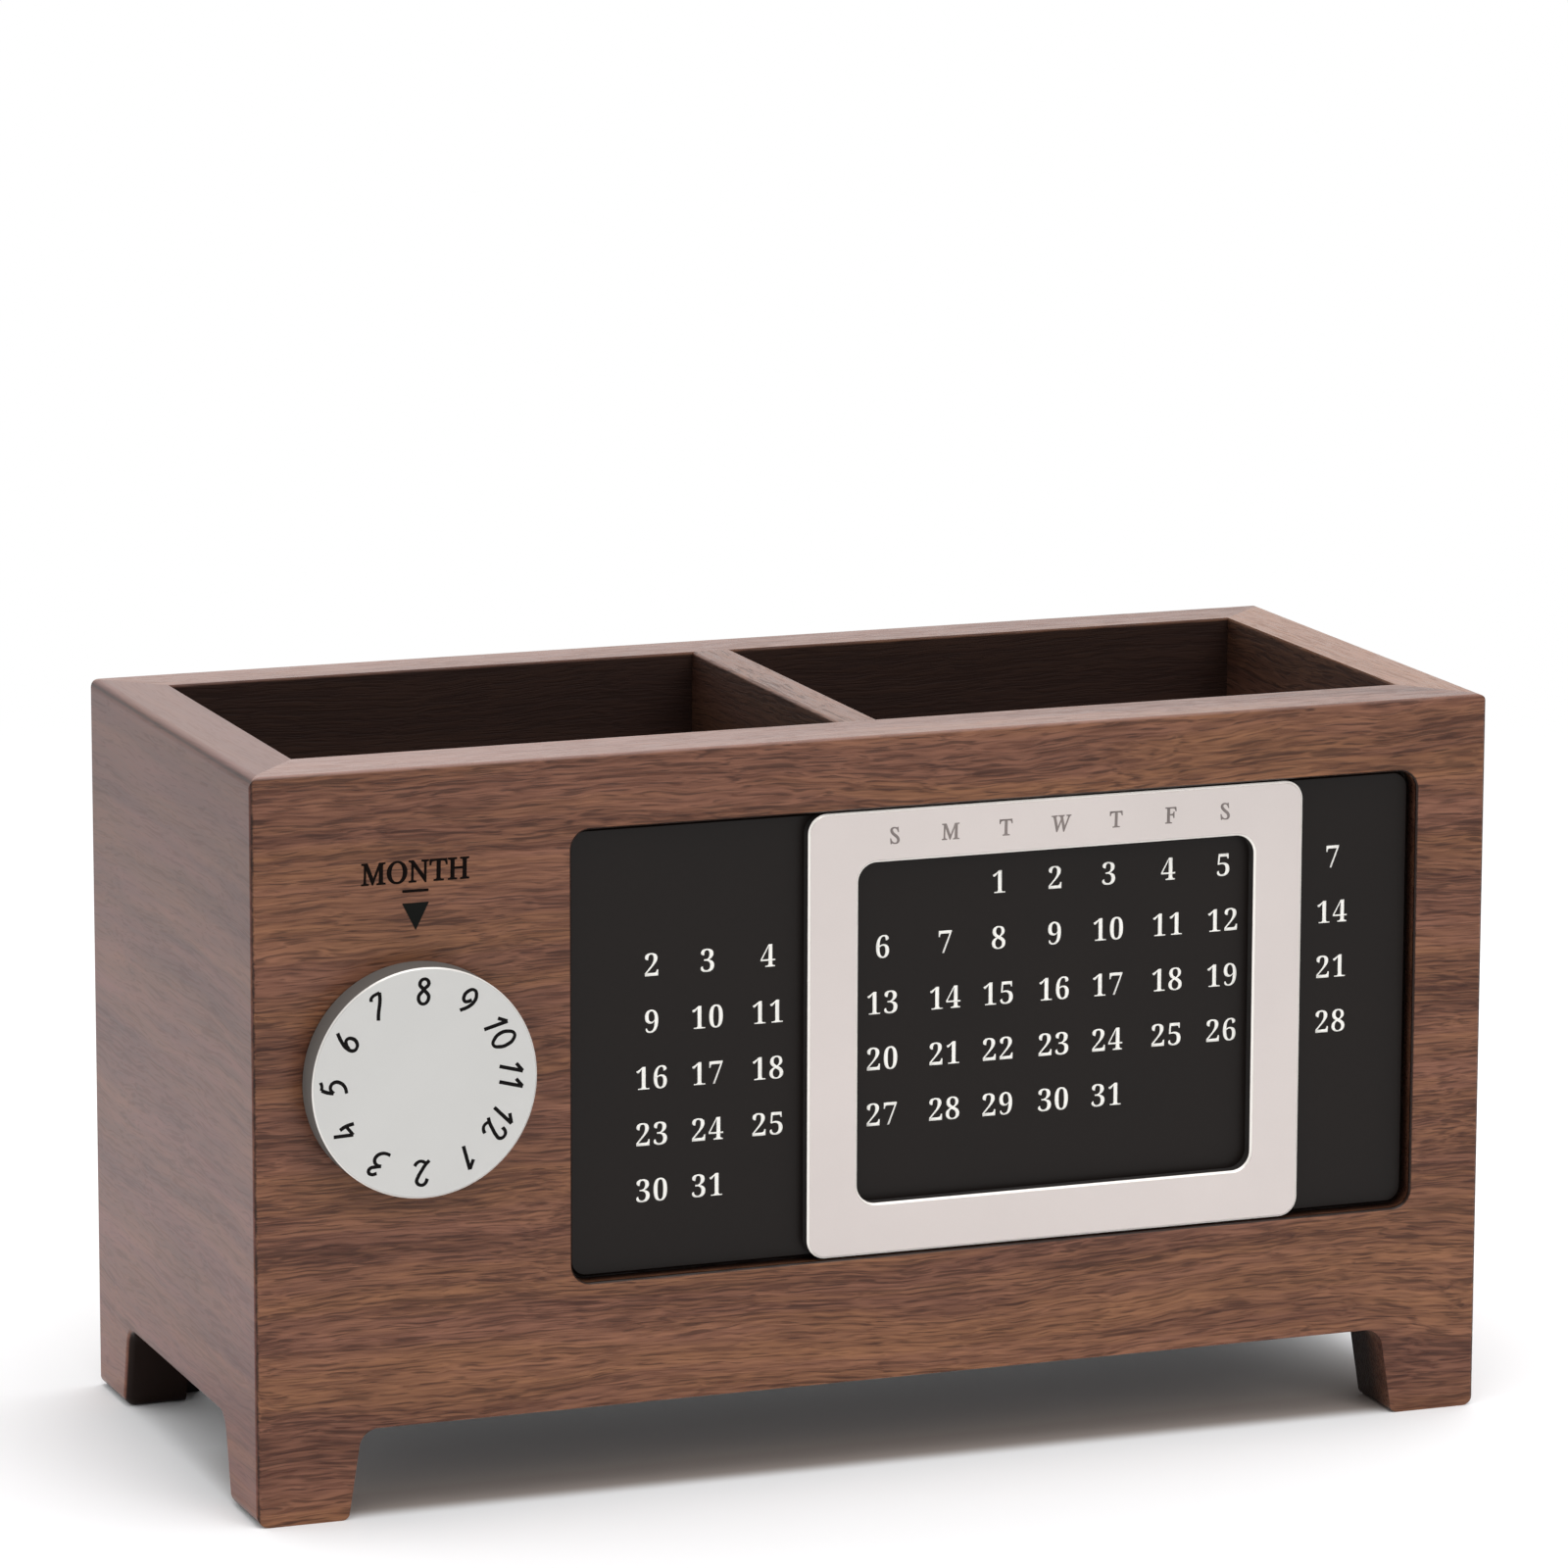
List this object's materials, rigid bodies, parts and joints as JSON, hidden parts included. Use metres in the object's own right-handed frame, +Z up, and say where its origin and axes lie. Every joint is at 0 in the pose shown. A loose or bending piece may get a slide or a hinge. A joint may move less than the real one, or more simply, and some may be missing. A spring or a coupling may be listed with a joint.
{
  "type": "perpetual calendar pen holder",
  "caption": "Two-compartment walnut desk box on feet, with a black calendar plate, a metal week frame that slides along it, and a turning month dial.",
  "frame": {"origin": "under the middle of the whole object, on the surface that its feet stand on", "axes": "+X along the front to the right, +Y from the front to the back, +Z up"},
  "size_m": [0.2, 0.0914, 0.114],
  "materials": {
    "walnut": "satin oiled walnut, grain along each board",
    "spline_wood": "plain sawn hardwood, unseen",
    "plate_black": "satin black paint with white figures",
    "foam_tape": "double-sided foam tape",
    "frame_aluminium": "fine blasted, anodised, bright cut edges",
    "magnet_nickel": "nickel plated",
    "dial_aluminium": "fine blasted face, turned rim, black figures",
    "bush_brass": "turned",
    "white_nylon": "plain",
    "spring_steel": "plain rolled",
    "screw_steel": "zinc plated"
  },
  "bodies": {
    "box": {"front_panel": "walnut", "back_panel": "walnut", "left_panel": "walnut", "right_panel": "walnut", "floor_panel": "walnut", "divider": "walnut", "screw_cover": "walnut", "mitre_spline_front_left": "spline_wood", "mitre_spline_front_right": "spline_wood", "mitre_spline_back_right": "spline_wood", "mitre_spline_back_left": "spline_wood", "calendar_plate": "plate_black", "plate_tape": "foam_tape", "dial_bush": "bush_brass"},
    "week_frame": {"slider_frame": "frame_aluminium", "magnet_lower_left": "magnet_nickel", "magnet_lower_right": "magnet_nickel", "magnet_upper_left": "magnet_nickel", "magnet_upper_right": "magnet_nickel"},
    "dial": {"month_dial": "dial_aluminium", "glide_washer": "white_nylon", "disc_spring": "spring_steel", "flat_washer": "screw_steel", "dial_screw": "screw_steel"}
  },
  "joints": [
    {"name": "week_frame_slide", "type": "slide", "parent": "box", "child": "week_frame", "axis": [1, 0, 0], "range_m": [-0.0378, 0.0191]},
    {"name": "month_dial_turn", "type": "hinge", "parent": "box", "child": "dial", "pos_m": [-0.0751, -0.0403, 0.0674], "axis": [0, 1, 0], "continuous": true}
  ]
}
